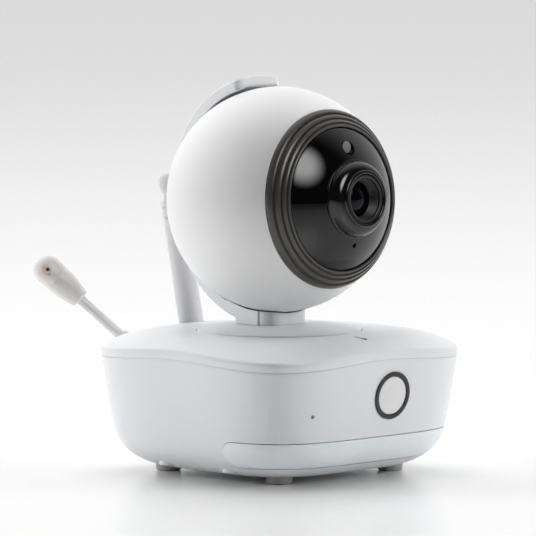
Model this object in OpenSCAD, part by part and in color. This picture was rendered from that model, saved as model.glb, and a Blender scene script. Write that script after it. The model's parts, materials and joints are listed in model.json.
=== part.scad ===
// Baby monitor camera: a ball head on a curved arm, over a squarish base with an aerial and a probe.
// Millimetres. Z is up, the table is z = 0, the front faces -Y, and the pan axis is the Z axis.

/* [Base] */
// Half width of the base across its flats, at the top crease
base_half = 46.9; // [46.6:0.1:47.5]
// Squareness of the base outline: 2 is a circle, and a higher power is squarer
corner_power = 4; // [3.8:0.1:4.2]
// Height of the flat middle of the top
top_z = 44.3; // [44.2:0.1:44.5]
// Mean height of the crease between the top and the sides
crease_z = 40.15; // [40:0.05:40.3]
// How far the crease rises at mid side and dips at the corners
crease_wave = 0.95; // [0.6:0.05:1.1]
// Depth of the top cover's rim below the crease
rim_drop = 2.9; // [2.7:0.1:3]
// Wall thickness of the base mouldings
wall = 2.2; // [2:0.1:2.4]
// Height of the flat underside above the table
under_z = 2; // [1.8:0.1:2.2]
// Height at which the rounding of the lower edge begins
round_z = 13; // [12:0.5:14]
// How far the rounding of the lower edge pulls in
round_in = 12; // [11:0.5:12.5]
// Distance of each foot from both centre planes
foot_place = 24.5; // [24:0.5:25]
// Radius of a foot
foot_r = 4; // [3.5:0.25:4.25]

/* [Base fittings] */
// Lower edge of the light strip
strip_low = 5.8; // [5.6:0.1:6.2]
// Upper edge of the light strip
strip_high = 13.9; // [13.5:0.1:14]
// How far the strip's round ends reach back along the sides
strip_end_y = -17.6; // [-19:0.1:-16]
// Outer radius of the ring round the front button
button_ring_r = 7.5; // [7.3:0.1:7.8]
// Radius of the front button
button_r = 5.85; // [5.6:0.05:5.9]
// Sideways place of the front button
button_x = 3.8; // [2:0.1:6]
// Height of the front button
button_z = 26.7; // [25:0.1:28]
// Sideways place of the temperature probe's jack
jack_x = -16.8; // [-17.5:0.1:-16]
// Height of the temperature probe's jack
jack_z = 36.25; // [36:0.05:36.5]
// Sideways place of the power inlet
inlet_x = 17; // [15:0.5:18]
// Height of the power inlet
inlet_z = 19.6; // [19.4:0.1:20]

/* [Turntable and arm] */
// Radius of the turntable's disc
disc_r = 25.7; // [25.5:0.1:25.8]
// Height of the disc's crown
disc_crown_z = 46.1; // [46:0.1:46.1]
// Outer radius of the turntable's hub
hub_r = 8; // [7.9:0.05:8.1]
// Radius of the arm's inner face, about the ball's centre
arm_in_r = 36.2; // [36.1:0.05:36.3]
// Radius of the arm's outer face
arm_out_r = 39.5; // [39.3:0.1:39.8]
// Half width of the arm
arm_half_w = 9.6; // [9.2:0.1:10]
// Angle of the arm's tip above the level of the ball's centre
arm_tip_angle = 76.7; // [74:0.1:78]
// Half width of the neck under the ball
neck_half_w = 8.8; // [8.6:0.1:9]
// Front face of the neck
neck_front_y = -5.1; // [-5.5:0.1:-4.8]

/* [Head] */
// Height of the ball's centre and of the tilt axis
head_z = 85; // [84.9:0.1:85.5]
// Outer radius of the ball
ball_r = 35.2; // [35:0.05:35.3]
// Wall thickness of the ball
ball_wall = 2; // [1.8:0.1:2.2]
// Upward tilt of the face at rest
rest_tilt = 3.5; // [2:0.5:5]
// Distance from the ball's centre to the plane of its round opening
opening_h = 21.7; // [21.5:0.1:21.9]
// Outer radius of the bezel ring
bezel_r = 27.9; // [27.6:0.1:28]
// Radius of the black face window
window_r = 22.1; // [21.8:0.1:22.2]
// Half width of the rear slot that the yoke passes through
slot_half_w = 2.7; // [2.5:0.1:3]
// Lowest angle of the rear slot
slot_low = -40; // [-42:1:-40]
// Highest angle of the rear slot
slot_high = 45; // [45:1:46]

/* [Drives] */
// Teeth on the pan gear and on the tilt sector's full circle
wheel_teeth = 40; // [40:40:40]
// Teeth on each pinion
pinion_teeth = 12; // [12:12:12]
// Tooth module of the pan gears
pan_module = 0.8; // [0.8:0.1:0.8]
// Tooth module of the tilt gears
tilt_module = 0.7; // [0.7:0.1:0.7]
// Direction of the pan motor from the pan axis, a whole number of gear teeth
pan_motor_angle = 216; // [207:9:225]

/* [Aerial and probe] */
// Distance of the aerial's hinge behind the pan axis
aerial_y = 38.7; // [38.5:0.1:38.9]
// Height of the aerial's hinge
aerial_z = 41.5; // [41.4:0.1:41.7]
// Backward lean of the aerial at rest
aerial_lean = 13.3; // [12:0.1:15]
// Length of the aerial from its hinge to its tip
aerial_length = 50.6; // [48:0.1:52]
// Lean of the probe from upright
probe_lean = 47.9; // [46:0.1:50]
// Length of the probe from its elbow to its tip
probe_length = 41.2; // [40:0.1:42]
// Radius of the probe's stem
stem_r = 1.8; // [1.6:0.1:2]

/* [Hidden] */
$fn = 96;
ring_sides = 96;
gap = 0.3;
seam_gap = 0.2;
eps = 0.01;

// Crown of the base: the share of the half width that stays flat, and how the rest curves
crown_flat = 0.65;
crown_power = 2.2;
draft = 0.10;
belly = 0.0016;
draft_zero_z = 39.2;
seam_z = crease_z - rim_drop;
floor_z = under_z + 2;

// Recess and hub bearing under the turntable
recess_r = disc_r + gap;
recess_z = 42.2;
probe_elbow_y = 48;
disc_under_z = recess_z + gap;
bush_low_z = 37.5;
gear_z = 33.3;
gear_h = 3.5;
disc_edge_z = 44.2;
turntable_bore_r = 5.5;
cable_hole_y = 2.8;
cable_hole_r = 2.2;

// Point on the disc's shallow dome: 0 at the flat seat of the neck, 1 at the rim
disc_seat_r = 6;
function dome_point(t) = [
    disc_seat_r + (disc_r - disc_seat_r) * t,
    disc_crown_z - (disc_crown_z - disc_edge_z) * t * t];

// Drives
pan_centre = pan_module * (wheel_teeth + pinion_teeth) / 2;
tilt_centre = tilt_module * (wheel_teeth + pinion_teeth) / 2;
pan_motor_x = pan_centre * cos(pan_motor_angle);
pan_motor_y = pan_centre * sin(pan_motor_angle);
motor_top_z = 32.3;
motor_ear = 12.5;

// Neck and arm
neck_z = disc_crown_z + 0.05;
cup_r = ball_r + 0.5;
cover_split_r = arm_in_r + 0.75;
channel_r = arm_out_r - 1.1;
yoke_half_t = 2;
yoke_half_h = 5;
axle_r = 2;
bush_bore_r = axle_r + 0.05;

// Front button: the side wall leans out by this angle where the button sits
button_lean = 8;
button_y = -side_half(button_z);
board_z = 13;
case_screw_places = [for (x = [-34, 34]) for (y = [-14, 14]) [x, y]];
foot_places = [for (x = [-1, 1]) for (y = [-1, 1]) [x * foot_place, y * foot_place]];
board_post_places = [for (x = [-26, 26]) for (y = [-26, 26]) [x, y]];
turntable_screw_places = [[-5.5, 9.3], [5.5, 9.3]];
bezel_screw_r = 20.2;

// ---- Base outline -------------------------------------------------------------------------

// Radius of the base outline at an angle, for a half width of 1
function squircle(a) = pow(pow(abs(cos(a)), corner_power) + pow(abs(sin(a)), corner_power), -1 / corner_power);

// Half width of the outer wall at a height
function side_half(z) = base_half
    - draft * (draft_zero_z - z)
    - belly * pow(draft_zero_z - z, 2)
    - (z < round_z ? round_in * (1 - sqrt(1 - pow((round_z - z) / (round_z - under_z), 2))) : 0);

// How much of the crease's wave the side wall has at a height
function side_wave(z) = z < 24 ? 0 : crease_wave * pow((z - 24) / (crease_z - 24), 2);

// Share of the crown's rise at a share s of the half width
function crown(s) = s < crown_flat ? 1 : 1 - pow((s - crown_flat) / (1 - crown_flat), crown_power);

// A ring is [half width, mean height, wave]
function side_ring(z, inset) = [side_half(z) - inset, z, side_wave(z)];
function crown_ring(s, drop) = [
    base_half * s,
    crease_z + (top_z - crease_z) * crown(s) - drop,
    crease_wave * (1 - crown(s))];
function ring_points(ring) = [
    for (i = [0 : ring_sides - 1])
        let (a = 360 * i / ring_sides)
        let (r = ring[0] * squircle(a))
        [r * cos(a), r * sin(a), ring[1] + ring[2] * cos(4 * a)]];

// Side faces between ring k and ring m, as triangles
function band(k, m) = [
    for (i = [0 : ring_sides - 1])
        let (j = (i + 1) % ring_sides)
        each [
            [k * ring_sides + i, m * ring_sides + i, m * ring_sides + j],
            [k * ring_sides + i, m * ring_sides + j, k * ring_sides + j]]];

// Solid through a path of rings, closed by a flat cap on the first and the last
module capped_loft(rings) {
    last = len(rings) - 1;
    polyhedron(
        points = [for (ring = rings) each ring_points(ring)],
        faces = [
            [for (i = [0 : ring_sides - 1]) i],
            for (k = [0 : last - 1]) each band(k, k + 1),
            [for (i = [ring_sides - 1 : -1 : 0]) last * ring_sides + i]]);
}

// Solid through a closed path of rings
module looped_loft(rings) {
    count = len(rings);
    polyhedron(
        points = [for (ring = rings) each ring_points(ring)],
        faces = [for (k = [0 : count - 1]) each band(k, (k + 1) % count)]);
}

// ---- Shared shapes ------------------------------------------------------------------------

function polar(r, a) = [r * cos(a), r * sin(a)];

// A tube or a plain ring
module tube(outer, inner, height) {
    difference() {
        cylinder(r = outer, h = height);
        translate([0, 0, -eps]) cylinder(r = inner, h = height + 2 * eps);
    }
}

// A pan-head screw: head below the origin, shank upwards
module screw(shank_r, shank_length, head_r, head_h) {
    translate([0, 0, -head_h]) cylinder(r = head_r, h = head_h);
    translate([0, 0, -head_h / 2]) cylinder(r = shank_r, h = shank_length + head_h / 2);
}

// A box with round upright edges
module rounded_slab(size, corner) {
    translate([corner, 0, 0]) cube([size[0] - 2 * corner, size[1], size[2]]);
    translate([0, corner, 0]) cube([size[0], size[1] - 2 * corner, size[2]]);
    for (x = [corner, size[0] - corner]) for (y = [corner, size[1] - corner])
        translate([x, y, 0]) cylinder(r = corner, h = size[2]);
}

// Gear outline with straight-flanked teeth, the first centred on angle 0
function gear_outline(teeth, mod) =
    let (pitch_r = mod * teeth / 2)
    let (step = 360 / teeth)
    [for (i = [0 : teeth - 1]) each [
        polar(pitch_r - 1.1 * mod, (i - 0.30) * step),
        polar(pitch_r, (i - 0.21) * step),
        polar(pitch_r + 0.8 * mod, (i - 0.10) * step),
        polar(pitch_r + 0.8 * mod, (i + 0.10) * step),
        polar(pitch_r, (i + 0.21) * step),
        polar(pitch_r - 1.1 * mod, (i + 0.30) * step)]];

// Turns a shape drawn in the XY plane to lie in the YZ plane, thick along X
module side_view() {
    rotate([90, 0, 90]) children();
}

// A wedge about the X axis, between two angles measured from +Y up towards +Z
module wedge(from, to, reach, half_w) {
    side_view() translate([0, 0, -half_w]) linear_extrude(2 * half_w)
        polygon([[0, 0], for (i = [0 : 12]) polar(reach, from + (to - from) * i / 12)]);
}

// Frames of the moving groups
module at_head() {
    translate([0, 0, head_z]) children();
}
// Local Z is the way the face looks, and local Y is up on the face
module on_face() {
    at_head() rotate([90 - rest_tilt, 0, 0]) children();
}
module on_button() {
    translate([button_x, button_y, button_z]) rotate([90 + button_lean, 0, 0]) children();
}
module on_aerial() {
    translate([0, aerial_y, aerial_z]) rotate([-aerial_lean, 0, 0]) children();
}
module on_probe() {
    translate([jack_x, probe_elbow_y, jack_z]) rotate([0, probe_lean, 135]) children();
}

// ---- Base ---------------------------------------------------------------------------------

// Outline of the light strip seen from the side, round at its rear end
module strip_region(grow) {
    mid = (strip_low + strip_high) / 2;
    r = (strip_high - strip_low) / 2 + grow;
    end_y = strip_end_y - (strip_high - strip_low) / 2;
    side_view() translate([0, 0, -60]) linear_extrude(120) union() {
        translate([end_y, mid]) circle(r = r);
        translate([end_y - 60, mid - r]) square([60, 2 * r]);
    }
}

// A band that follows the lower wall between two insets from its outer face
module strip_band(outer, inner) {
    levels = [4.9, 6.2, 7.6, 9.2, 11, 13, 15];
    looped_loft([
        for (z = levels) side_ring(z, outer),
        for (i = [len(levels) - 1 : -1 : 0]) side_ring(levels[i], inner)]);
}

// The pocket of the aerial's hinge, open to the top and to the rear
module aerial_slot() {
    translate([-4.6, aerial_y - 4.5, aerial_z - 4.6]) cube([9.2, 30, 20]);
}

module jack_hole(r) {
    translate([jack_x, 40, jack_z]) rotate([-90, 0, 0]) cylinder(r = r, h = 20);
}

// Microphone hole, square to the outline near the front left corner
module on_microphone() {
    translate([-28.4, -42.85, 22.4]) rotate([90, 0, -16.1]) children();
}

module base_bowl() {
    outer_levels = [2, 2.15, 2.6, 3.4, 4.6, 6.2, 8, 10, 13, 17, 21, 25, 29, 33];
    inner_levels = [34, 28, 22, 16, 12, 9, 7, 5.6];
    color("white") difference() {
        union() {
            capped_loft([
                for (z = outer_levels) side_ring(z, 0),
                [side_half(seam_z), seam_z - seam_gap, crease_wave],
                [base_half - 1.2, seam_z - seam_gap, crease_wave],
                [base_half - 1.2, seam_z + 1.2, crease_wave],
                [base_half - wall, seam_z + 1.2, crease_wave],
                for (z = inner_levels) side_ring(z, wall),
                [33.5, floor_z, 0],
                [28, floor_z, 0]]);
            for (p = board_post_places) translate([p[0], p[1], floor_z - 0.5])
                cylinder(r = 2.6, h = board_z - floor_z + 0.5);
            for (p = case_screw_places) translate([p[0], p[1], floor_z]) cylinder(r = 3.4, h = 6);
            translate([0, 0, 0.9]) cylinder(r = 7.5, h = 11);
            // Ring that seats the speaker
            translate([-19.5, 0, floor_z - 0.5]) tube(12.2, 11.1, 3);
        }
        intersection() {
            strip_band(-1, 1.35);
            strip_region(0.1);
        }
        for (p = foot_places) translate([p[0], p[1], -1]) cylinder(r = foot_r + 0.02, h = 4);
        for (p = board_post_places) translate([p[0], p[1], board_z - 6]) cylinder(r = 0.9, h = 7);
        for (p = case_screw_places) translate([p[0], p[1], 0]) {
            cylinder(r = 2.6, h = 6.5);
            cylinder(r = 1.5, h = 12);
        }
        translate([0, 0, 0.5]) cylinder(r = 5, h = 10.6);
        // Sound holes under the speaker
        translate([-19.5, 0, 0]) {
            cylinder(r = 1.1, h = 6);
            for (i = [0 : 5]) rotate(60 * i) translate([4.6, 0, 0]) cylinder(r = 1.1, h = 6);
            for (i = [0 : 5]) rotate(60 * i + 30) translate([8, 0, 0]) cylinder(r = 1.1, h = 6);
        }
        on_button() translate([0, 0, -6]) cylinder(r = button_ring_r - 0.6, h = 12);
        on_microphone() translate([0, 0, -5]) cylinder(r = 0.6, h = 10);
        jack_hole(3.6);
        translate([inlet_x, 40, inlet_z]) rotate([-90, 0, 0]) cylinder(r = 4, h = 20);
        aerial_slot();
    }
}

module base_top_cover() {
    color("white") difference() {
        union() {
            capped_loft([
                [24, top_z - 2, 0],
                for (s = [0.65, 0.74, 0.82, 0.89]) crown_ring(s, 2),
                crown_ring(0.95, 2),
                [base_half - wall - 0.1, seam_z + 1.5, crease_wave],
                [base_half - 1.1, seam_z + 1.5, crease_wave],
                [base_half - 1.1, seam_z, crease_wave],
                [side_half(seam_z), seam_z, crease_wave],
                [side_half(crease_z - 0.8), crease_z - 0.8, crease_wave],
                [base_half - 0.25, crease_z + 0.05, crease_wave],
                for (s = [0.975, 0.95, 0.92, 0.88, 0.84, 0.79, 0.73, 0.65]) crown_ring(s, 0),
                [24, top_z, 0]]);
            translate([0, 0, recess_z - 1.8]) cylinder(r = recess_r + 2, h = 2.5);
            translate([0, 0, bush_low_z]) cylinder(r = 12, h = 4);
            for (p = case_screw_places) translate([p[0], p[1], 10]) cylinder(r = 3, h = 32.4);
            translate([-8, aerial_y - 6.3, aerial_z - 6.1]) cube([16, 9.1, 7.2]);
            translate([-8, aerial_y, aerial_z - 6.1]) cube([16, 5.3, 5.5]);
            for (side = [-1, 1]) motor_post(side);
        }
        translate([0, 0, recess_z]) cylinder(r = recess_r, h = 10);
        translate([0, 0, bush_low_z - 1]) cylinder(r = 9.5, h = 10);
        for (p = case_screw_places) translate([p[0], p[1], 9]) cylinder(r = 1.2, h = 14);
        for (side = [-1, 1]) on_motor_ear(side) translate([0, 0, motor_top_z - 1]) cylinder(r = 1, h = 7);
        aerial_slot();
        translate([-7.6, aerial_y, aerial_z]) rotate([0, 90, 0]) cylinder(r = 1.5, h = 15.2);
        jack_hole(3.6);
        status_slot(40, 10);
    }
}

module on_motor_ear(side) {
    translate([pan_motor_x, pan_motor_y, 0]) rotate(pan_motor_angle + 90 * side) translate([motor_ear, 0, 0])
        children();
}
module motor_post(side) {
    on_motor_ear(side) translate([0, 0, motor_top_z]) cylinder(r = 2.5, h = 9);
}

// Pill-shaped slot of the status light, lying along the front centre line
module status_slot(z, h) {
    translate([-0.6, -37.4, z]) cube([1.2, 4.3, h]);
    for (y = [-37.4, -33.1]) translate([0, y, z]) cylinder(r = 0.6, h = h);
}

module rubber_feet() {
    color("gainsboro") for (p = foot_places) translate([p[0], p[1], 0]) {
        cylinder(r1 = foot_r - 0.4, r2 = foot_r, h = 0.5);
        translate([0, 0, 0.5]) cylinder(r = foot_r, h = 2.5);
    }
}

module base_screws() {
    color("silver") for (p = case_screw_places) translate([p[0], p[1], 6.5]) screw(1.2, 14, 2.3, 1.6);
}

module tripod_insert() {
    color("goldenrod") translate([0, 0, 0.9]) difference() {
        cylinder(r = 5, h = 10.2);
        translate([0, 0, -1]) cylinder(r = 2.55, h = 10);
    }
}

module light_strip() {
    color("lightsteelblue") intersection() {
        strip_band(-0.12, 1.3);
        strip_region(0);
    }
}

module light_strip_board() {
    color("seagreen") translate([-20, -36.4, 6.6]) cube([40, 1, 5.4]);
    color("seagreen") for (x = [-15, -5, 5, 15]) translate([x - 1.5, -37.1, 8.2]) cube([3, 0.8, 2.4]);
}

module button_ring() {
    color("dimgray") on_button() difference() {
        union() {
            translate([0, 0, -3.4]) cylinder(r = button_ring_r - 0.62, h = 3.4);
            translate([0, 0, -0.2]) cylinder(r = button_ring_r, h = 0.6);
        }
        translate([0, 0, -5]) cylinder(r = button_r + 0.1, h = 10);
    }
}

module front_button() {
    color("white") on_button() {
        translate([0, 0, -2.6]) cylinder(r = button_r, h = 2.9);
        translate([0, 0, -4.2]) cylinder(r = 1.5, h = 1.7);
    }
}

module button_switch_board() {
    color("seagreen") on_button() {
        translate([-7, -5.5, -9.2]) cube([14, 11, 1]);
        translate([-3, -3, -8.2]) cube([6, 6, 2.6]);
        translate([0, 0, -5.7]) cylinder(r = 1.6, h = 0.5);
    }
}

module main_board() {
    color("darkgreen") difference() {
        translate([-30, -29, board_z]) rounded_slab([60, 62, 1.6], 3);
        for (p = board_post_places) translate([p[0], p[1], board_z - 1]) cylinder(r = 1.1, h = 4);
    }
}

module board_screws() {
    color("silver") for (p = board_post_places) translate([p[0], p[1], board_z + 1.6])
        mirror([0, 0, 1]) screw(0.9, 6, 1.8, 1.2);
}

module board_chips() {
    color("black") {
        translate([8, -14, board_z + 1.6]) cube([13, 13, 1.4]);
        translate([-24, 14, board_z + 1.6]) cube([10, 8, 1.4]);
        translate([-4, 18, board_z + 1.6]) cube([8, 6, 1.2]);
        for (x = [8, 15, 22]) translate([x, -23, board_z + 1.6]) cylinder(r = 2.2, h = 5.5);
    }
}

module radio_shield() {
    color("silver") translate([-12, 4, board_z + 1.6]) rounded_slab([16, 12, 2.6], 0.8);
}

module power_inlet() {
    color("black") difference() {
        union() {
            translate([inlet_x - 4.5, 29.5, board_z + 1.6]) cube([9, 10.5, 9.5]);
            translate([inlet_x, 39.9, inlet_z]) rotate([-90, 0, 0]) cylinder(r = 3.9, h = 3.7);
        }
        translate([inlet_x, 34, inlet_z]) rotate([-90, 0, 0]) cylinder(r = 2.75, h = 12);
    }
    color("silver") translate([inlet_x, 33.9, inlet_z]) rotate([-90, 0, 0]) cylinder(r = 0.65, h = 8.5);
}

module sensor_jack() {
    color("black") difference() {
        union() {
            translate([jack_x - 4, 32, jack_z - 4]) cube([8, 9.5, 8]);
            translate([jack_x, 41.4, jack_z]) rotate([-90, 0, 0]) cylinder(r = 3.55, h = 3);
        }
        translate([jack_x, 33.4, jack_z]) rotate([-90, 0, 0]) cylinder(r = 1.8, h = 14);
    }
}

module speaker() {
    color("dimgray") translate([-19.5, 0, floor_z]) {
        cylinder(r = 11, h = 2.4);
        translate([0, 0, 2.3]) cylinder(r1 = 9.5, r2 = 6.5, h = 1.6);
        translate([0, 0, 3.8]) cylinder(r = 6.5, h = 2.6);
    }
}

module microphone() {
    color("silver") on_microphone() translate([0, 0, -4.9]) cylinder(r = 2, h = 1.8);
    color("silver") on_microphone() translate([-3, -3, -5.8]) cube([6, 6, 1]);
}

module status_light_pipe() {
    color("gray") intersection() {
        status_slot(39.4, 10);
        translate([-5, -45, 39]) cube([10, 20, top_z - 39 - 0.25]);
    }
}

module pan_motor() {
    color("silver") translate([pan_motor_x, pan_motor_y, 0]) difference() {
        union() {
            translate([0, 0, motor_top_z - 14.5]) cylinder(r = 9.5, h = 14.5);
            translate([0, 0, motor_top_z]) cylinder(r = 3.5, h = 0.7);
            rotate(pan_motor_angle + 90) translate([-motor_ear, -3, motor_top_z - 1]) cube([2 * motor_ear, 6, 1]);
            for (side = [-1, 1]) rotate(pan_motor_angle + 90 * side)
                translate([motor_ear, 0, motor_top_z - 1]) cylinder(r = 3, h = 1);
        }
        translate([0, 0, motor_top_z - 6]) cylinder(r = 1.3, h = 8);
        for (side = [-1, 1]) rotate(pan_motor_angle + 90 * side)
            translate([motor_ear, 0, motor_top_z - 2]) cylinder(r = 1.1, h = 3);
    }
}

module pan_motor_screws() {
    color("silver") for (side = [-1, 1]) on_motor_ear(side) translate([0, 0, motor_top_z - 1])
        screw(1, 6.5, 1.9, 1.2);
}

module pan_pinion() {
    color("ivory") translate([pan_motor_x, pan_motor_y, 0]) {
        translate([0, 0, motor_top_z + 0.9]) rotate(pan_motor_angle + 180 + 180 / pinion_teeth)
            linear_extrude(gear_h + 0.2) polygon(gear_outline(pinion_teeth, pan_module));
        translate([0, 0, motor_top_z - 5]) cylinder(r = 1.2, h = 6.5);
    }
}

module turntable_bush() {
    color("ivory") {
        translate([0, 0, bush_low_z]) tube(9.5, hub_r + 0.05, recess_z - bush_low_z);
        translate([0, 0, recess_z]) tube(12.5, hub_r + 0.05, 0.2);
    }
}

module aerial_hinge_pin() {
    color("silver") translate([-7.6, aerial_y, aerial_z]) rotate([0, 90, 0]) cylinder(r = 1.5, h = 15.2);
}

// ---- Turntable and arm --------------------------------------------------------------------

module turntable() {
    color("white") difference() {
        union() {
            rotate_extrude() polygon([
                [0, disc_under_z], [disc_r, disc_under_z],
                for (i = [8 : -1 : 0]) dome_point(i / 8),
                [0, disc_crown_z]]);
            translate([0, 0, gear_z - 1.6]) cylinder(r = hub_r, h = disc_under_z - gear_z + 2);
        }
        translate([0, 0, 30]) cylinder(r = turntable_bore_r, h = 14);
        translate([0, cable_hole_y, 40]) cylinder(r = cable_hole_r, h = 8);
        for (p = turntable_screw_places) translate([p[0], p[1], disc_under_z - 1]) {
            cylinder(r = 2.2, h = 2);
            cylinder(r = 1.1, h = 6);
        }
        // Groove of the gear clip
        translate([0, 0, gear_z - 0.9]) tube(hub_r + 1, 7.3, 0.9);
    }
}

module pan_gear() {
    color("ivory") translate([0, 0, gear_z]) difference() {
        union() {
            linear_extrude(gear_h) polygon(gear_outline(wheel_teeth, pan_module));
            cylinder(r = 11, h = bush_low_z - gear_z - gap);
        }
        translate([0, 0, -1]) cylinder(r = hub_r, h = 10);
        for (i = [0 : 4]) rotate(72 * i) translate([12.8, 0, -1]) cylinder(r = 1.4, h = 10);
    }
}

module gear_clip() {
    color("silver") translate([0, 0, gear_z - 0.85]) difference() {
        tube(9.8, 7.35, 0.8);
        translate([0, -2.5, -1]) cube([12, 5, 3]);
    }
}

module neck_front_cover() {
    depth = -neck_front_y - 0.2;
    color("white") difference() {
        intersection() {
            translate([-neck_half_w, neck_front_y, neck_z]) rounded_slab([2 * neck_half_w, depth + 3, 6], 2);
            translate([-20, neck_front_y - 1, neck_z]) cube([40, depth + 1, 10]);
        }
        at_head() sphere(r = cup_r);
    }
}

module arm_shell() {
    color("white") difference() {
        union() {
            intersection() {
                at_head() sphere(r = arm_out_r);
                at_head() wedge(-88, arm_tip_angle, 60, arm_half_w);
            }
            translate([-neck_half_w, 0, neck_z]) cube([2 * neck_half_w, 11, 9]);
        }
        at_head() sphere(r = cup_r);
        // The inner cover's seat
        intersection() {
            at_head() sphere(r = cover_split_r);
            at_head() wedge(-66.3, 90, 60, 20);
        }
        // Cable channel, and its way down to the hub
        intersection() {
            at_head() sphere(r = channel_r);
            union() {
                at_head() wedge(-55, 48, 60, 7.6);
                at_head() wedge(-87, -50, 60, 3.4);
            }
        }
        translate([0, cable_hole_y, neck_z - 1]) cylinder(r = cable_hole_r, h = 2.5);
        translate([-20, -10, neck_z - 10]) cube([40, 60, 10]);
        for (p = turntable_screw_places) translate([p[0], p[1], neck_z - 1]) cylinder(r = 0.95, h = 4.5);
        on_arm_screw() cylinder(r = 0.9, h = 10);
    }
}

// Local Z points outwards along the arm screw, from the ball's centre
module on_arm_screw() {
    at_head() rotate([-(90 - 62), 0, 0]) translate([0, 0, arm_in_r]) translate([0, 0, -1]) children();
}

module arm_inner_cover() {
    color("white") difference() {
        intersection() {
            at_head() sphere(r = cover_split_r - 0.02);
            at_head() wedge(-66, arm_tip_angle, 60, arm_half_w);
        }
        at_head() sphere(r = arm_in_r);
        translate([-yoke_half_t - 0.1, 20, head_z - yoke_half_h - 0.1])
            cube([2 * yoke_half_t + 0.2, 30, 2 * yoke_half_h + 0.2]);
        on_arm_screw() cylinder(r = 1.8, h = 1.45);
        on_arm_screw() cylinder(r = 1, h = 5);
    }
}

module arm_screws() {
    color("silver") {
        on_arm_screw() translate([0, 0, 1.4]) screw(0.9, 2.3, 1.7, 0.35);
        for (p = turntable_screw_places) translate([p[0], p[1], disc_under_z + 1]) screw(0.95, 5.9, 2, 0.9);
    }
}

module yoke_plate() {
    color("darkgray") at_head() difference() {
        union() {
            translate([-yoke_half_t, 0, 0]) rotate([0, 90, 0]) cylinder(r = 7, h = 2 * yoke_half_t);
            intersection() {
                translate([-yoke_half_t, 0, -yoke_half_h]) cube([2 * yoke_half_t, 60, 2 * yoke_half_h]);
                sphere(r = cover_split_r + 0.5);
            }
            // Foot of the yoke, clamped between the arm's shell and its inner cover
            intersection() {
                translate([-6, 20, -8]) cube([12, 30, 16]);
                difference() {
                    sphere(r = channel_r - 0.1);
                    sphere(r = cover_split_r + 0.02);
                }
            }
        }
        translate([-10, 0, 0]) rotate([0, 90, 0]) cylinder(r = axle_r, h = 20);
    }
}

module tilt_axle() {
    color("silver") at_head() translate([-12.5, 0, 0]) rotate([0, 90, 0]) cylinder(r = axle_r, h = 25);
}

module tilt_sector_gear() {
    color("ivory") at_head() difference() {
        union() {
            intersection() {
                side_view() translate([0, 0, yoke_half_t]) linear_extrude(3)
                    polygon(gear_outline(wheel_teeth, tilt_module));
                wedge(40.5, 139.5, 60, 20);
            }
            translate([yoke_half_t, 0, 0]) rotate([0, 90, 0]) cylinder(r = 6, h = 3);
        }
        translate([-10, 0, 0]) rotate([0, 90, 0]) cylinder(r = axle_r, h = 20);
    }
}

// Lead to the head, clipped in the arm's channel
module head_cable() {
    mid_r = (cover_split_r + channel_r) / 2;
    color("black") at_head() side_view() rotate(-54)
        rotate_extrude(angle = 38) translate([mid_r, 0]) circle(r = 0.55, $fn = 32);
}

// ---- Head ---------------------------------------------------------------------------------

// Both halves of the ball before they are parted
module ball() {
    difference() {
        at_head() sphere(r = ball_r);
        at_head() sphere(r = ball_r - ball_wall);
        on_face() translate([0, 0, opening_h]) cylinder(r = 60, h = 30);
        at_head() wedge(slot_low, slot_high, 60, slot_half_w);
    }
}

// Posts that the bezel's screws bite into, each on a web from the wall
module bezel_posts() {
    on_face() intersection() {
        for (a = [135, 225]) rotate(a) translate([0, 0, 9]) {
            translate([bezel_screw_r, 0, 0]) cylinder(r = 2.3, h = 7.8);
            translate([bezel_screw_r, -1, 0]) cube([12, 2, 7.8]);
        }
        sphere(r = ball_r - ball_wall + 0.3);
    }
}
module bezel_pilots() {
    on_face() for (a = [135, 225]) rotate(a) translate([bezel_screw_r, 0, 10]) cylinder(r = 0.9, h = 10);
}

// Boss that carries a tilt bush, from the side wall inwards
module tilt_boss() {
    at_head() intersection() {
        translate([-6.4, 0, 0]) rotate([0, -90, 0]) cylinder(r = 5, h = 30);
        sphere(r = ball_r - ball_wall + 0.3);
    }
}

// Left half of the ball with its posts and boss; the right half is its mirror image
module left_half() {
    difference() {
        union() {
            intersection() {
                ball();
                translate([-100.03, -50, 0]) cube([100, 100, 150]);
            }
            bezel_posts();
            tilt_boss();
        }
        bezel_pilots();
        at_head() translate([-5, 0, 0]) rotate([0, -90, 0]) cylinder(r = 3, h = 6.4);
        at_head() translate([-5, 0, 0]) rotate([0, -90, 0]) cylinder(r = 2.3, h = 9);
    }
}

module head_shell_left() {
    color("white") left_half();
}

module head_shell_right() {
    color("white") {
        mirror([1, 0, 0]) left_half();
        // Seat of the tilt motor
        at_head() translate([18.6, 0, tilt_centre]) rotate([0, 90, 0]) cylinder(r = 5.5, h = 6.9);
    }
}

module tilt_bushes() {
    color("ivory") at_head() for (side = [0, 1]) mirror([side, 0, 0]) translate([6.4, 0, 0]) rotate([0, 90, 0])
        tube(3, bush_bore_r, 5);
}

module tilt_motor() {
    color("silver") at_head() translate([6.6, 0, tilt_centre]) rotate([0, 90, 0]) difference() {
        cylinder(r = 5.8, h = 12);
        translate([0, 0, -1]) cylinder(r = 1.1, h = 6);
    }
}

module tilt_pinion() {
    color("ivory") at_head() translate([0, 0, tilt_centre]) {
        side_view() translate([0, 0, yoke_half_t - 0.1]) rotate(-90 + 180 / pinion_teeth)
            linear_extrude(3.4) polygon(gear_outline(pinion_teeth, tilt_module));
        translate([5, 0, 0]) rotate([0, 90, 0]) cylinder(r = 1, h = 5.5);
    }
}

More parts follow.
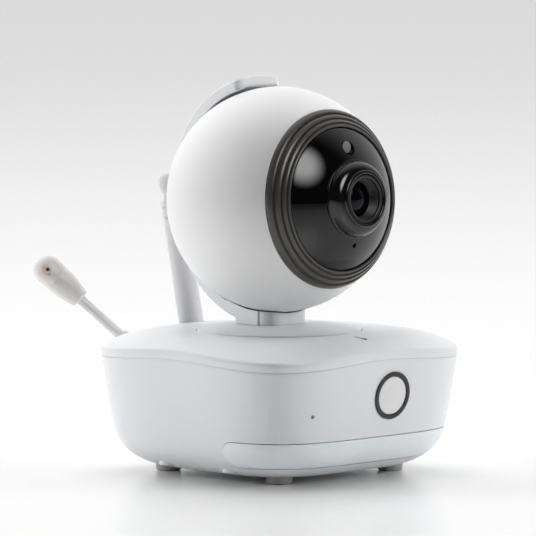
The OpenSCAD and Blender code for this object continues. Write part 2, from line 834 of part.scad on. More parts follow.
// Stepped ring round the face: a broad outer step and three narrower ones
module bezel_ring() {
    color("dimgray") on_face() difference() {
        rotate_extrude() polygon([
            [17.5, 17], [24.9, 17], [24.9, opening_h + 0.1], [bezel_r - 0.3, opening_h + 0.1],
            [bezel_r, opening_h + 0.5], [26.9, 24.1],
            [26.5, 23.7], [26.1, 23.9], [26.1, 25.0], [25.2, 25.8],
            [24.9, 25.3], [24.6, 25.5], [24.6, 26.4], [23.8, 27.0],
            [23.5, 26.5], [23.3, 26.6], [23.2, 27.3], [22.7, 27.6],
            [window_r + 0.2, 27.2], [window_r + 0.2, 24.2], [21.4, 24.2], [21.4, 22.9],
            [22.3, 22.9], [22.3, 18.6], [17.5, 18.6]]);
        for (a = [45 : 90 : 315]) rotate(a) translate([bezel_screw_r, 0, 16]) cylinder(r = 1.1, h = 2.7);
    }
}

module bezel_screws() {
    color("silver") on_face() for (a = [45 : 90 : 315]) rotate(a) translate([bezel_screw_r, 0, 18.7])
        mirror([0, 0, 1]) screw(0.9, 7, 1.6, 1.1);
}

// Glossy window that carries on the ball's curve, with holes for the lens and the light sensor
module face_window() {
    color("black") on_face() difference() {
        intersection() {
            sphere(r = ball_r - 0.1);
            translate([0, 0, 20]) cylinder(r = window_r, h = 20);
        }
        sphere(r = ball_r - 1.9);
        cylinder(r = 11.9, h = 50);
        translate([0, 16, 0]) cylinder(r = 2.35, h = 50);
        translate([0, 16, 30.6]) cylinder(r = 2.8, h = 10);
        translate([0, -14.4, 0]) cylinder(r = 0.5, h = 50);
    }
}

module light_sensor_window() {
    color("darkgray") on_face() translate([0, 16, 29.4]) cylinder(r = 2.33, h = 1.1);
}

module lens_collar() {
    color("black") on_face() rotate_extrude() polygon([
        [11.2, 29.2], [11.85, 29.2], [11.85, 33.1], [12.3, 33.1], [12.3, 33.5],
        [11.6, 33.8], [9.1, 37.2], [8.6, 37.9], [8.1, 38.1], [7.7, 37.8], [7.6, 31.5], [11.2, 31.5]]);
}

module lens_barrel() {
    color("black") on_face() rotate_extrude() polygon([
        [4, 23.2], [5.98, 23.2], [5.98, 31.8], [7.45, 32.4], [7.45, 37.0], [7.1, 37.4],
        [6.5, 37.1], [6.2, 36.4], [5.6, 34.2], [5.6, 32.6], [4, 32.6]]);
}

module lens_front_glass() {
    glass_r = 8;
    color("midnightblue") on_face() intersection() {
        translate([0, 0, 32.65]) cylinder(r = 5.55, h = 4);
        translate([0, 0, 35.6 - glass_r]) sphere(r = glass_r);
    }
}

module lens_holder() {
    color("black") on_face() difference() {
        translate([-7.5, -7.5, 19.85]) cube([15, 15, 8]);
        translate([0, 0, 15]) cylinder(r = 6, h = 20);
    }
}

module image_sensor() {
    color("darkslategray") on_face() translate([-3.8, -3.2, 19.85]) cube([7.6, 6.4, 1.4]);
}

module camera_board() {
    color("darkgreen") on_face() difference() {
        translate([0, 0, 18.65]) cylinder(r = 18.4, h = 1.2);
        translate([-30, 16.5, 18]) cube([60, 10, 3]);
    }
}

module infrared_board() {
    color("darkgreen") on_face() {
        translate([0, 0, 22.9]) tube(21.2, 12.4, 1);
        for (a = [0, 180]) rotate(a) translate([15, 0, 19.85]) cylinder(r = 1.4, h = 3.1);
    }
}

module infrared_leds() {
    color("lavender") on_face() for (i = [0 : 7]) rotate(22.5 + 45 * i) translate([17, 0, 23.9]) {
        cylinder(r = 1.5, h = 1.2);
        translate([0, 0, 1.2]) intersection() {
            sphere(r = 1.5, $fn = 32);
            cylinder(r = 2, h = 2);
        }
    }
}

module light_sensor() {
    color("lavender") on_face() translate([0, 16, 23.9]) cylinder(r = 1.5, h = 2);
    color("lavender") on_face() translate([-0.8, -15.2, 23.9]) cube([1.6, 1.6, 0.8]);
}

// ---- Aerial -------------------------------------------------------------------------------

module aerial_knuckle() {
    color("white") on_aerial() difference() {
        union() {
            translate([-4.2, 0, 0]) rotate([0, 90, 0]) cylinder(r = 4, h = 8.4);
            cylinder(r = 4, h = 6);
        }
        translate([-10, 0, 0]) rotate([0, 90, 0]) cylinder(r = 1.56, h = 20);
    }
}

// Slightly tapered rod with three stepped rings and a round tip
module aerial_rod() {
    tip_r = 2.7;
    color("white") on_aerial() {
        translate([0, 0, 6]) cylinder(r1 = 4, r2 = 3.6, h = aerial_length - 24);
        translate([0, 0, aerial_length - 18]) cylinder(r = 3.25, h = 0.6);
        translate([0, 0, aerial_length - 17.4]) cylinder(r1 = 3.6, r2 = 3.5, h = 5.6);
        translate([0, 0, aerial_length - 11.8]) cylinder(r = 3.1, h = 0.6);
        translate([0, 0, aerial_length - 11.2]) cylinder(r1 = 3.45, r2 = 3.3, h = 4.1);
        translate([0, 0, aerial_length - 7.1]) cylinder(r = 2.9, h = 0.6);
        translate([0, 0, aerial_length - 6.5]) cylinder(r1 = 3.2, r2 = tip_r, h = 6.5 - tip_r);
        translate([0, 0, aerial_length - tip_r]) sphere(r = tip_r);
    }
}

// ---- Temperature probe --------------------------------------------------------------------

module probe_plug() {
    color("whitesmoke") {
        translate([jack_x, 44.7, jack_z]) rotate([-90, 0, 0]) cylinder(r = 3, h = probe_elbow_y - 44.7);
        translate([jack_x, probe_elbow_y, jack_z]) sphere(r = 3);
        on_probe() cylinder(r1 = 3, r2 = 2.3, h = 6);
    }
    color("silver") translate([jack_x, 34.2, jack_z]) rotate([-90, 0, 0]) cylinder(r = 1.75, h = 11);
}

module probe_stem() {
    color("whitesmoke") on_probe() translate([0, 0, 6]) cylinder(r = stem_r, h = 16.6);
}

module probe_head() {
    tip_r = 4.55;
    color("whitesmoke") on_probe() difference() {
        union() {
            translate([0, 0, 22.6]) cylinder(r1 = 2, r2 = 3.2, h = 1.4);
            translate([0, 0, 24]) cylinder(r1 = 3.2, r2 = 4.5, h = 6);
            translate([0, 0, 30]) cylinder(r1 = 4.5, r2 = tip_r, h = probe_length - 30 - tip_r);
            translate([0, 0, probe_length - tip_r]) sphere(r = tip_r);
        }
        translate([0, 0, 37.4]) rotate([-90, 0, 0]) cylinder(r = 0.9, h = 10);
    }
}

module probe_thermistor() {
    color("black") on_probe() translate([0, 0.5, 37.4]) rotate([-90, 0, 0]) cylinder(r = 0.88, h = 1.6);
}

base_bowl();
base_top_cover();
rubber_feet();
base_screws();
tripod_insert();
light_strip();
light_strip_board();
button_ring();
button_switch_board();
main_board();
board_screws();
board_chips();
radio_shield();
power_inlet();
sensor_jack();
speaker();
microphone();
status_light_pipe();
pan_motor();
pan_motor_screws();
turntable_bush();
aerial_hinge_pin();
front_button();
pan_pinion();
turntable();
pan_gear();
gear_clip();
neck_front_cover();
arm_shell();
arm_inner_cover();
arm_screws();
yoke_plate();
tilt_axle();
tilt_sector_gear();
head_cable();
head_shell_left();
head_shell_right();
tilt_bushes();
bezel_ring();
bezel_screws();
face_window();
lens_collar();
lens_barrel();
lens_front_glass();
lens_holder();
image_sensor();
camera_board();
infrared_board();
infrared_leds();
light_sensor_window();
light_sensor();
tilt_motor();
tilt_pinion();
aerial_rod();
aerial_knuckle();
probe_plug();
probe_stem();
probe_head();
probe_thermistor();
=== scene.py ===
# Baby monitor camera: visible shells, finishes, stage, lights and camera.
import json
from math import atan2, cos, hypot, pi, radians, sin, sqrt

import bpy
from mathutils import Matrix, Vector


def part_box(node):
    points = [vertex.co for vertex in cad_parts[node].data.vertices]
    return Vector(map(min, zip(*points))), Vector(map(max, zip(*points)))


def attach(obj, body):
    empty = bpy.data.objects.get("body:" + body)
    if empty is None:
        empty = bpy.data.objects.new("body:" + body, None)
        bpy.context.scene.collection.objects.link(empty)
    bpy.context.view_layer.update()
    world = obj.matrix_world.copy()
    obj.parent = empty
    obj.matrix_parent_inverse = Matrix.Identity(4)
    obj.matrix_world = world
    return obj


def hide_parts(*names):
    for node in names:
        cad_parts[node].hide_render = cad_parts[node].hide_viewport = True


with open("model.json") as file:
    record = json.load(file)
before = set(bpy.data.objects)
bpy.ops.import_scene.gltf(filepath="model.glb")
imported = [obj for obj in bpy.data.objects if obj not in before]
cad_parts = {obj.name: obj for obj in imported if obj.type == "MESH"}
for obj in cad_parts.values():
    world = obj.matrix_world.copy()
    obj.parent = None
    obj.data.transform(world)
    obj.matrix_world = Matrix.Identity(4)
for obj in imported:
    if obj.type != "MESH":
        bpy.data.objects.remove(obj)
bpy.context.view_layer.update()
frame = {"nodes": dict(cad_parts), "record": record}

MM = 0.001
POLE = 0.004  # radius of a ring that closes to a point, in millimetres
REACH = 60  # far enough for a tool to pass right through the base, in millimetres
TABLE_R = 9.0  # metres


def middle(node):
    """Middle of a node's box, in millimetres."""
    low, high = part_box(node)
    return (low + high) / 2 / MM


def half_size(node):
    low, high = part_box(node)
    return (high - low) / 2 / MM


# ---- Driving sizes in millimetres, from the frame where a node's box gives them ----------------

BASE_HALF = 46.9
TOP_Z = 44.3
CREASE_Z = 40.15
CREASE_WAVE = 0.95
SEAM_Z = 37.25
SEAM_GAP = 0.05
WALL = 2.2
UNDERSIDE_Z = 2.0
WIDEST_Z = 39.2
WALL_LEAN, WALL_BOW = 0.10, 0.0016
ROUND_Z = 13.0
ROUND_IN = 12.0
WAVE_FROM_Z = 24
WARP_FROM_R, WARP_OVER = 27.5, 3.0  # the round middle of the cover blends into the base's outline here
CROWN_POWER = 2.2
FLAT_SHARE = 0.65
CORNER_POWER = 4
STRIP_LOW, STRIP_HIGH = 5.8, 13.9
STRIP_END_Y = -17.6
DISC_R = half_size("turntable").x
RECESS_R = DISC_R + 0.3
RECESS_Z = 42.2
DISC_UNDER_Z = 42.5
DISC_EDGE_Z = 44.6
DISC_CROWN_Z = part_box("turntable")[1].z / MM
HEAD_Z = 85.0
BALL_R = 35.2
BALL_WALL = 2.0
OPENING_H = 21.7
REST_TILT = 3.5
CUP_R = BALL_R + 0.5
ARM_IN_R = 36.2
ARM_SPLIT_R = 36.95
ARM_OUT_R = 39.5
ARM_HALF_W = half_size("arm_inner_cover").x
ARM_TIP = 76.7  # angles along the arm, in degrees above the ball's centre
ARM_FOOT = -88
ARM_TIP_ROUND = 2.6
COVER_FOOT = -66
NECK_HALF_W = half_size("neck_front_cover").x
NECK_FRONT_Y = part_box("neck_front_cover")[0].y / MM
NECK_Z = DISC_CROWN_Z + 0.05
NECK_TOP_Z = 53
NECK_REAR_Y = 11
BUTTON_X, BUTTON_Z = 3.8, 26.7
BUTTON_LEAN = 8.0
RING_R = 7.5
CAP_R = 6.0
JACK_X, JACK_Z = middle("sensor_jack").x, 36.25
AERIAL_Y, AERIAL_Z = 38.7, 41.5
AERIAL_LEAN = 13.3
AERIAL_LENGTH = 50.6
AERIAL_SLOT = 4.6  # half width of its slot, and its depth below the hinge
PROBE_ELBOW_Y = 48.0
PROBE_LEAN = 47.9
PROBE_LENGTH = 41.2
WINDOW_R = 22.1
SENSOR_R = 1.85
SENSOR_UP = 16  # distance above the middle of the face
INLET_X, INLET_Z = middle("power_inlet").x, 19.6
FOOT_PLACE = 24.5
FOOT_R = 4.0
CASE_SCREWS = [(x, y) for x in (-34, 34) for y in (-14, 14)]
STATUS_R, STATUS_ENDS = 0.6, (-37.4, -33.1)


# ---- Outline of the base -----------------------------------------------------------------------

def squircle(angle):
    """Radius of the base's outline at an angle, for a half width of 1."""
    return (abs(cos(angle)) ** CORNER_POWER + abs(sin(angle)) ** CORNER_POWER) ** (-1 / CORNER_POWER)


def side_half(z):
    """Half width of the outer wall at a height."""
    below = WIDEST_Z - z
    pull = 0.0
    if z < ROUND_Z:
        pull = ROUND_IN * (1 - sqrt(max(0.0, 1 - ((ROUND_Z - z) / (ROUND_Z - UNDERSIDE_Z)) ** 2)))
    return BASE_HALF - WALL_LEAN * below - WALL_BOW * below ** 2 - pull


def crown(share):
    """Share of the crown's rise at a share of the half width."""
    if share <= FLAT_SHARE:
        return 1.0
    return 1 - min(1.0, (share - FLAT_SHARE) / (1 - FLAT_SHARE)) ** CROWN_POWER


def bowl_wave(r, z):
    return CREASE_WAVE * min(1.0, max(0.0, (z - WAVE_FROM_Z) / (SEAM_Z - WAVE_FROM_Z))) ** 2


def cover_wave(r, z):
    return CREASE_WAVE * (1 - crown(r / BASE_HALF))


def square_off(piece, wave):
    """Warps a round turned shape to the base's outline; a ring's radius becomes its half width."""
    for v in piece.data.vertices:
        x, y, z = v.co / MM
        r = hypot(x, y)
        angle = atan2(y, x)
        share = min(1.0, max(0.0, (r - WARP_FROM_R) / WARP_OVER))
        share = share * share * (3 - 2 * share)
        grow = 1 + share * (squircle(angle) - 1)
        lift = share * wave(r, z) * cos(4 * angle)
        v.co = Vector((x * grow, y * grow, z + lift)) * MM


# ---- Modelling helpers -------------------------------------------------------------------------

def only(piece):
    bpy.ops.object.select_all(action="DESELECT")
    piece.select_set(True)
    bpy.context.view_layer.objects.active = piece


def edit(piece):
    only(piece)
    bpy.ops.object.mode_set(mode="EDIT")
    bpy.ops.mesh.select_all(action="SELECT")


def leave():
    bpy.ops.object.mode_set(mode="OBJECT")


def arc(r, z, radius, start, end, steps=4):
    """Points round (r, z), from one angle to another, in degrees from the +r direction."""
    turns = [radians(start + (end - start) * i / steps) for i in range(steps + 1)]
    return [(r + radius * cos(t), z + radius * sin(t)) for t in turns]


def turned(name, profile, sides=128):
    """A piece turned on the Z axis from (radius, height) pairs; equal ends close it to a ring."""
    bpy.ops.object.select_all(action="DESELECT")
    rings = [(max(r, POLE), z) for r, z in profile]
    bpy.ops.mesh.primitive_circle_add(vertices=sides, radius=rings[0][0] * MM)
    piece = bpy.context.object
    piece.name = name
    bpy.ops.object.mode_set(mode="EDIT")
    bpy.ops.mesh.select_all(action="SELECT")
    bpy.ops.transform.translate(value=(0, 0, rings[0][1] * MM))
    for (r0, z0), (r1, z1) in zip(rings, rings[1:]):
        bpy.ops.mesh.extrude_region_move()
        bpy.ops.transform.resize(value=(r1 / r0, r1 / r0, 1), center_override=(0, 0, 0))
        bpy.ops.transform.translate(value=(0, 0, (z1 - z0) * MM))
    bpy.ops.mesh.select_all(action="SELECT")
    bpy.ops.mesh.remove_doubles(threshold=0.01 * MM)
    bpy.ops.mesh.normals_make_consistent(inside=False)
    leave()
    return piece


def seat(piece, place):
    """Moves a shape to its place and leaves its object at the origin."""
    only(piece)
    piece.matrix_world = place
    bpy.ops.object.transform_apply(location=True, rotation=True, scale=True)
    return piece


def at(x, y, z, turn=0.0, axis="X"):
    return Matrix.Translation(Vector((x, y, z)) * MM) @ Matrix.Rotation(radians(turn), 4, axis)


ALONG_Y = -90  # turn about X that lays a shape's Z axis along +Y
HEAD = at(0, 0, HEAD_Z)
FACE = at(0, 0, HEAD_Z, 90 - REST_TILT)
BUTTON = at(BUTTON_X, -side_half(BUTTON_Z), BUTTON_Z, 90 + BUTTON_LEAN)
AERIAL = at(0, AERIAL_Y, AERIAL_Z, -AERIAL_LEAN)
PROBE = at(JACK_X, PROBE_ELBOW_Y, JACK_Z, 135, "Z") @ at(0, 0, 0, PROBE_LEAN, "Y")
MICROPHONE = at(-28.4, -42.85, 22.4, -16.1, "Z") @ at(0, 0, 0, 90)


def rod(radius, low, high, place=None, sides=64):
    """A plain round tool along local Z."""
    bpy.ops.object.select_all(action="DESELECT")
    bpy.ops.mesh.primitive_cylinder_add(
        vertices=sides, radius=radius * MM, depth=(high - low) * MM, location=(0, 0, (low + high) / 2 * MM))
    tool = bpy.context.object
    bpy.ops.object.transform_apply(location=True, rotation=True, scale=True)
    return seat(tool, place) if place else tool


def block(low, high, name="block"):
    """A plain box tool between two corners."""
    size = [(b - a) * MM for a, b in zip(low, high)]
    bpy.ops.object.select_all(action="DESELECT")
    bpy.ops.mesh.primitive_cube_add(
        size=1, location=[(a + b) / 2 * MM for a, b in zip(low, high)], scale=size)
    tool = bpy.context.object
    tool.name = name
    bpy.ops.object.transform_apply(location=True, rotation=True, scale=True)
    return tool


def globe(radius, place, name="globe", segments=128, rings=64):
    bpy.ops.object.select_all(action="DESELECT")
    bpy.ops.mesh.primitive_uv_sphere_add(segments=segments, ring_count=rings, radius=radius * MM)
    tool = bpy.context.object
    tool.name = name
    return seat(tool, place)


def joined(pieces):
    """Joins shapes that don't touch into the first one."""
    only(pieces[0])
    for p in pieces:
        p.select_set(True)
    if len(pieces) > 1:
        bpy.ops.object.join()
    return pieces[0]


def combine(piece, tool, how="DIFFERENCE"):
    """Cuts, adds or keeps what it shares with a tool, and removes the tool."""
    only(piece)
    bpy.ops.object.modifier_add(type="BOOLEAN")
    step = piece.modifiers[-1]
    step.operation = how
    step.solver = "EXACT"
    step.object = tool
    bpy.ops.object.modifier_apply(modifier=step.name)
    bpy.data.objects.remove(tool)
    return piece


def soften(piece, width, angle=40, segments=3):
    """Rounds every edge that is sharper than an angle."""
    only(piece)
    bpy.ops.object.modifier_add(type="BEVEL")
    step = piece.modifiers[-1]
    step.width = width * MM
    step.segments = segments
    step.limit_method = "ANGLE"
    step.angle_limit = radians(angle)
    bpy.ops.object.modifier_apply(modifier=step.name)
    return piece


def band_section(inner, outer, half_w, edge):
    """Rounded section of a band as (sideways, distance from the ball's centre) pairs."""
    flat = half_w - edge
    corners = [(flat, 1, 90), (flat, -1, 0), (-flat, -1, -90), (-flat, 1, 180)]
    across = [flat * (1 - 2 * i / 12) for i in range(1, 12)]
    points = []
    for x, side, start in corners:
        face = sqrt((outer if side > 0 else inner) ** 2 - x * x)
        for i in range(5):
            turn = radians(start - 22.5 * i)
            points.append((x + edge * cos(turn), face - side * edge + edge * sin(turn)))
        if (x, side) == (flat, -1):
            points += [(w, sqrt(inner ** 2 - w * w)) for w in across]
        if (x, side) == (-flat, 1):
            points += [(-w, sqrt(outer ** 2 - w * w)) for w in across]
    return points


def band(name, inner, outer, half_w, low, high, tip_round=0.0, edge=0.01):
    """A stretch of a ball's shell behind the head, between two angles above the ball's centre.

    tip_round is the radius of the tip's corners, and edge the rounding of every long edge."""
    per_mm = 180 / (pi * outer)
    near_tip = [0, 0.05, 0.2, 0.4, 0.7, 1.1, 1.6, 2.2] if tip_round else [0]
    first = (tip_round or 1.0) * per_mm
    count = int((high - low) / 1.5)
    levels = [high - d * per_mm for d in near_tip]
    levels += [high - first - (high - first - low) * i / count for i in range(count + 1)]
    around = len(band_section(inner, outer, half_w, edge))
    bpy.ops.object.select_all(action="DESELECT")
    bpy.ops.mesh.primitive_grid_add(x_subdivisions=around, y_subdivisions=len(levels) - 1, size=2)
    piece = bpy.context.object
    piece.name = name
    for v in piece.data.vertices:
        ring = levels[round((v.co.y + 1) / 2 * (len(levels) - 1))]
        back = max(0.0, (high - ring) / per_mm)
        pull = tip_round - sqrt(tip_round ** 2 - (tip_round - back) ** 2) if back < tip_round else 0.0
        thin = edge - sqrt(edge ** 2 - (edge - back) ** 2) if back < edge and tip_round else 0.0
        section = band_section(inner + thin, outer - thin, half_w - pull, edge)
        x, depth = section[round((v.co.x + 1) / 2 * around) % around]
        turn = radians(ring)
        v.co = Vector((x, depth * cos(turn), depth * sin(turn))) * MM
    edit(piece)
    bpy.ops.mesh.remove_doubles(threshold=0.0005 * MM)
    bpy.ops.mesh.select_all(action="DESELECT")
    bpy.ops.mesh.select_mode(type="EDGE")
    bpy.ops.mesh.select_non_manifold(extend=False)
    bpy.ops.mesh.edge_face_add()
    bpy.ops.mesh.select_all(action="SELECT")
    bpy.ops.mesh.normals_make_consistent(inside=False)
    leave()
    return seat(piece, HEAD)


def fit(piece, body, finish, slot, *nodes, angle=35, even=False):
    """Shades a finished piece, gives it its finish and hangs it on its body.

    even keeps broad faces plain beside their narrow rounded edges."""
    only(piece)
    bpy.ops.object.shade_smooth_by_angle(angle=radians(angle))
    if even:
        bpy.ops.object.modifier_add(type="WEIGHTED_NORMAL")
        piece.modifiers[-1].keep_sharp = True
        bpy.ops.object.modifier_apply(modifier=piece.modifiers[-1].name)
    piece.data.materials.clear()
    piece.data.materials.append(finish)
    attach(piece, body)
    if nodes:
        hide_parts(*nodes)
    return piece


# ---- Finishes ----------------------------------------------------------------------------------

def colour(code):
    """An sRGB hex value as linear RGBA."""
    parts = [int(code[i:i + 2], 16) / 255 for i in (1, 3, 5)]
    return [c / 12.92 if c <= 0.04045 else ((c + 0.055) / 1.055) ** 2.4 for c in parts] + [1.0]


def add(tree, kind, inputs=None, **settings):
    """Adds a node; an input is a value or another node's output socket."""
    node = tree.nodes.new(kind)
    for key, value in settings.items():
        setattr(node, key, value)
    for key, value in (inputs or {}).items():
        if isinstance(value, bpy.types.NodeSocket):
            tree.links.new(value, node.inputs[key])
        else:
            node.inputs[key].default_value = value
    return node


def surface(name, base, rough, grain=0.3, depth=0.004, mottle=0.03, mottle_mm=14.0, spread=0.05,
            **sockets):
    """A surface with a fine grain, a slow change of tone and slightly uneven gloss.

    grain and mottle_mm are sizes in millimetres, depth is the grain's height in millimetres."""
    finish = bpy.data.materials.new(name)
    finish.use_nodes = True
    tree = finish.node_tree
    shader = tree.nodes["Principled BSDF"]
    place = add(tree, "ShaderNodeTexCoord").outputs["Object"]
    slow = add(tree, "ShaderNodeTexNoise",
               {"Vector": place, "Scale": 1 / (mottle_mm * MM), "Detail": 3.0, "Roughness": 0.55})
    fine = add(tree, "ShaderNodeTexNoise",
               {"Vector": place, "Scale": 1 / (grain * MM), "Detail": 2.0, "Roughness": 0.6})
    tone = colour(base)
    dark = [c * (1 - mottle) for c in tone[:3]] + [1.0]
    light = [min(1.0, c * (1 + mottle)) for c in tone[:3]] + [1.0]
    mixed = add(tree, "ShaderNodeMix", {"Factor": slow.outputs["Fac"], "A": dark, "B": light},
                data_type="RGBA")
    tree.links.new(mixed.outputs["Result"], shader.inputs["Base Color"])
    gloss = add(tree, "ShaderNodeMapRange", {
        "Value": fine.outputs["Fac"], "To Min": max(0.0, rough - spread), "To Max": min(1.0, rough + spread)})
    tree.links.new(gloss.outputs["Result"], shader.inputs["Roughness"])
    relief = add(tree, "ShaderNodeBump", {
        "Height": fine.outputs["Fac"], "Distance": depth * MM, "Strength": 1.0})
    tree.links.new(relief.outputs["Normal"], shader.inputs["Normal"])
    for key, value in sockets.items():
        shader.inputs[key.replace("_", " ")].default_value = value
    return finish


# ABS, moulded in a spark-eroded tool: satin white with a very fine even grain
WHITE_ABS = surface("white_moulded_abs", "#EBECEE", 0.36, grain=0.35, depth=0.003, mottle=0.012, IOR=1.53)
# The ball's ABS: a shade whiter and a little softer in gloss
BALL_ABS = surface("white_satin_abs", "#EEEEEE", 0.40, grain=0.35, depth=0.003, mottle=0.010, IOR=1.53)
# Frosted acrylic diffuser: bluish white, the light sinks in a little
DIFFUSER = surface("frosted_acrylic", "#F3F6F9", 0.30, grain=0.4, depth=0.002, mottle=0.012, IOR=1.49,
                   Subsurface_Weight=0.15, Subsurface_Scale=0.002)
# Glass-filled nylon, dark and dull, for the ring round the button
CHARCOAL = surface("charcoal_nylon", "#2B2A2B", 0.34, grain=0.3, depth=0.004, mottle=0.05, IOR=1.52)
# Button cap: polycarbonate, satin pale grey
CAP_PC = surface("pale_polycarbonate", "#ECECEC", 0.34, grain=0.3, depth=0.003, mottle=0.012, IOR=1.585)
# Bezel: ABS in warm dark grey, moulded satin, its ridges catch the light
BEZEL_ABS = surface("warm_grey_abs", "#484643", 0.25, grain=0.3, depth=0.004, mottle=0.05, IOR=1.53)
# Face: infrared-pass acrylic, polished black
BLACK_GLOSS = surface("polished_black_acrylic", "#020203", 0.035, grain=0.6, depth=0.0002, mottle=0.05,
                      spread=0.01, IOR=1.49)
# Lens collar: black polycarbonate with a soft polish
BLACK_PC = surface("black_polycarbonate", "#0B0B0D", 0.09, grain=0.4, depth=0.001, mottle=0.06, spread=0.03,
                   IOR=1.585)
# Lens barrel: moulded nylon, dull black with a slightly rough skin
MATT_BLACK = surface("matt_black_nylon", "#121214", 0.42, grain=0.25, depth=0.005, mottle=0.06, IOR=1.52)
# Front lens: coated glass that shows dark violet-blue
LENS_GLASS = surface("coated_lens_glass", "#05050A", 0.03, grain=0.6, depth=0.0001, mottle=0.05, spread=0.005,
                     IOR=1.3)
# Light sensor: frosted grey epoxy with a coarse sparkle
SENSOR_EPOXY = surface("frosted_epoxy", "#77797B", 0.45, grain=0.5, depth=0.03, mottle=0.15, mottle_mm=0.9)
# Silicone rubber of the feet: translucent grey, dull
FOOT_SILICONE = surface("grey_silicone", "#B4B3B0", 0.5, grain=0.5, depth=0.006, mottle=0.05,
                        Subsurface_Weight=0.3, Subsurface_Scale=0.002)
# Aerial: polypropylene-blend plastic, light cool grey
AERIAL_ABS = surface("light_grey_abs", "#DEDEDF", 0.38, grain=0.35, depth=0.003, mottle=0.015, IOR=1.53)
# Probe head: soft white TPE over plastic
PROBE_TPE = surface("white_tpe", "#E9E7E5", 0.40, grain=0.35, depth=0.003, mottle=0.015,
                    Subsurface_Weight=0.15, Subsurface_Scale=0.002)
# Probe stem: clear-grey PVC tube, light gathers at its edges
STEM_PVC = surface("translucent_pvc", "#F4F4F5", 0.22, grain=0.5, depth=0.001, mottle=0.02,
                   Transmission_Weight=0.3, IOR=1.53)
# Sensing spot of the probe: pale peach epoxy
PEACH_EPOXY = surface("peach_epoxy", "#E8D2C2", 0.35, grain=0.4, depth=0.003, mottle=0.04)
# Status light's window: smoked polycarbonate
SMOKED_PC = surface("smoked_polycarbonate", "#4A494A", 0.2, grain=0.4, depth=0.001, mottle=0.04, IOR=1.585)
# Zinc-plated steel: bright, with fine rolling marks
STEEL = surface("zinc_plated_steel", "#B9BABC", 0.28, grain=0.2, depth=0.003, mottle=0.06, Metallic=1.0)
# Turned brass
BRASS = surface("turned_brass", "#C39A4E", 0.25, grain=0.2, depth=0.003, mottle=0.05, Metallic=1.0)
# Die-cast zinc, fine sandy skin
CAST = surface("die_cast_zinc", "#8D8F92", 0.42, grain=0.3, depth=0.01, mottle=0.08, Metallic=1.0)
# Acetal gears: milky, slightly waxy
ACETAL = surface("natural_acetal", "#EDEAE0", 0.3, grain=0.4, depth=0.002, mottle=0.02,
                 Subsurface_Weight=0.2, Subsurface_Scale=0.001)
# Glass-epoxy board under green solder mask
SOLDER_MASK = surface("green_solder_mask", "#12502E", 0.3, grain=0.6, depth=0.008, mottle=0.12, mottle_mm=3.0)
# Black thermoset of chips and connectors
BLACK_EPOXY = surface("black_epoxy", "#151516", 0.48, grain=0.25, depth=0.006, mottle=0.08)
# Clear epoxy of the infrared lamps
LED_EPOXY = surface("clear_epoxy", "#D8D8E2", 0.08, grain=0.6, depth=0.0005, mottle=0.02,
                    Transmission_Weight=0.7, IOR=1.5)
# PVC jacket of the lead
JACKET = surface("black_pvc", "#1A1A1B", 0.45, grain=0.3, depth=0.006, mottle=0.06)

KEPT_FINISHES = {
    "white_housing": WHITE_ABS, "foot_rubber": FOOT_SILICONE, "steel": STEEL, "brass": BRASS,
    "light_diffuser": DIFFUSER, "circuit_board": SOLDER_MASK, "charcoal_plastic": CHARCOAL,
    "black_plastic": BLACK_EPOXY, "light_pipe": SMOKED_PC, "gear_acetal": ACETAL, "button_cap": CAP_PC,
    "cast_alloy": CAST, "cable_jacket": JACKET, "bezel_plastic": BEZEL_ABS, "black_gloss": BLACK_GLOSS,
    "lens_glass": LENS_GLASS, "led_resin": LED_EPOXY, "sensor_window": SENSOR_EPOXY,
    "aerial_plastic": AERIAL_ABS, "probe_plastic": PROBE_TPE,
}


def finish_kept_nodes():
    """Every node's own shape gets the finish of its material slot in the record."""
    slots = {part["node"]: part["material_slot"] for part in frame["record"]["subparts"]}
    for name, node in frame["nodes"].items():
        finish = KEPT_FINISHES.get(slots.get(name), BLACK_EPOXY)
        if not node.material_slots:
            node.data.materials.append(finish)
        for slot in node.material_slots:
            slot.material = finish


# ---- Base --------------------------------------------------------------------------------------

def lower_rounding():
    """Half widths and heights up the rounded lower edge."""
    points = []
    for turn in range(90, 0, -5):
        z = ROUND_Z - (ROUND_Z - UNDERSIDE_Z) * sin(radians(turn))
        points.append((side_half(z), z))
    return points


def strip_tool(grow):
    """Side outline of the light strip as a bar across the base, round at its rear end."""
    radius = (STRIP_HIGH - STRIP_LOW) / 2 + grow
    centre_y = STRIP_END_Y - (STRIP_HIGH - STRIP_LOW) / 2
    centre_z = (STRIP_LOW + STRIP_HIGH) / 2
    bar = rod(radius, -REACH, REACH, at(0, centre_y, centre_z, 90, "Y"))
    for v in bar.data.vertices:
        if v.co.y < (centre_y - 0.05) * MM:
            v.co.y -= REACH * MM
    return bar


def side_band(name, outer, inner):
    """A ring that follows the lower wall, between two distances from its outer face."""
    levels = [4.9 + 0.45 * i for i in range(23)]
    face = [(side_half(z) + outer, z) for z in levels]
    back = [(side_half(z) - inner, z) for z in reversed(levels)]
    ring = turned(name, face + back + face[:1], sides=256)
    square_off(ring, bowl_wave)
    return ring


